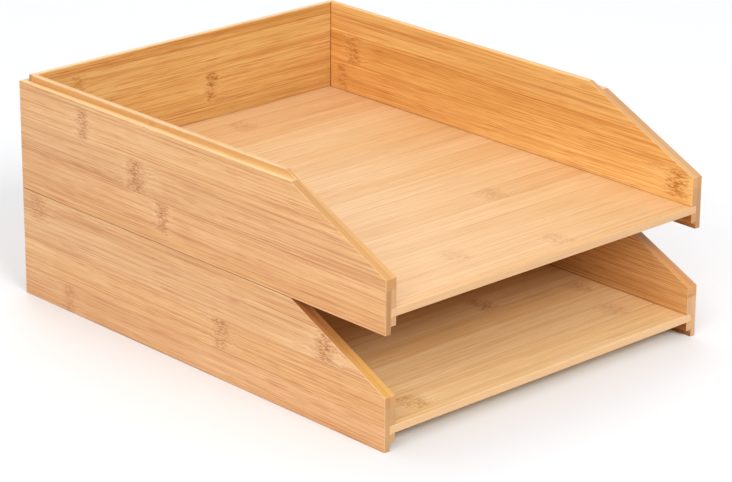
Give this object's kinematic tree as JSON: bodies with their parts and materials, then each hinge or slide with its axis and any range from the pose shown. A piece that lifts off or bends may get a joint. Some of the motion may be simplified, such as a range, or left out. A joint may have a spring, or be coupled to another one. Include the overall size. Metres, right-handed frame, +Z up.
{
  "type": "letter tray",
  "caption": "Stacking bamboo letter trays with sloping sides and an open front, each tray seated on the tongue and ledge of the one below.",
  "frame": {"origin": "on the ground plane, under the middle of the stack's bounding box", "axes": "+Z up; +Y from the open front towards the back board; +X to the right as seen from the open front"},
  "size_m": [0.26, 0.33, 0.1439],
  "materials": {
    "side_bamboo": "clear satin lacquer over edge-glued bamboo strips, grain along the board",
    "back_bamboo": "clear satin lacquer over edge-glued bamboo strips, grain along the board",
    "shelf_bamboo": "clear satin lacquer over edge-glued bamboo strips, grain left to right"
  },
  "bodies": {
    "lower_tray": {"lower_left_side": "side_bamboo", "lower_right_side": "side_bamboo", "lower_back_board": "back_bamboo", "lower_shelf": "shelf_bamboo"},
    "upper_tray": {"upper_left_side": "side_bamboo", "upper_right_side": "side_bamboo", "upper_back_board": "back_bamboo", "upper_shelf": "shelf_bamboo"}
  },
  "joints": [
    {"name": "upper_tray_lift", "type": "slide", "parent": "lower_tray", "child": "upper_tray", "axis": [0, 0, 1], "range_m": [0, 0.12]}
  ]
}
